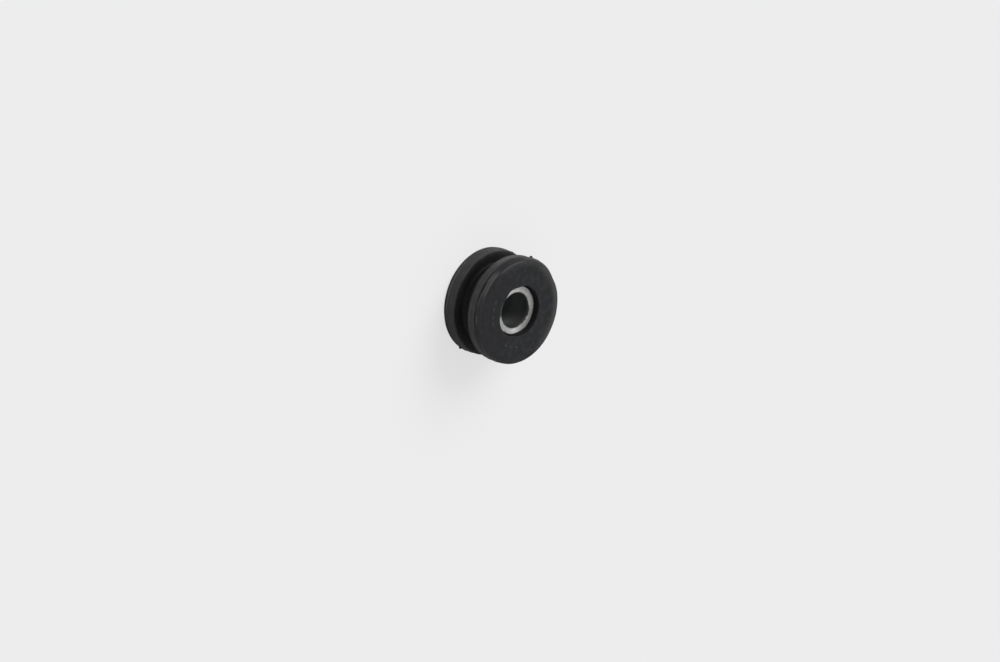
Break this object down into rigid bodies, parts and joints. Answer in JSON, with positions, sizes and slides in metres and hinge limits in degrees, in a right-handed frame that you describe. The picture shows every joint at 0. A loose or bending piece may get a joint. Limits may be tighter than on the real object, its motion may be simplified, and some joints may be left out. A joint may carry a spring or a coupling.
{
  "type": "radiator mount cushion",
  "caption": "Round moulded rubber cushion with two flanges, a groove for a bracket plate and a steel collar recessed in its bore.",
  "frame": {"origin": "centre of the lower flange's outer face, on the axis of the bore", "axes": "+Z along the bore axis, from the flange that it stands on to the upper flange; X and Y only mark the turn about the axis, and the mould's split lies 127 degrees from -Y towards +X"},
  "size_m": [0.02, 0.02, 0.0097],
  "materials": {
    "rubber": "matte moulded black rubber, lighter along its worn edges",
    "steel": "bright turned end, duller bore"
  },
  "bodies": {
    "root": {"rubber_cushion": "rubber", "steel_collar": "steel"}
  },
  "joints": []
}
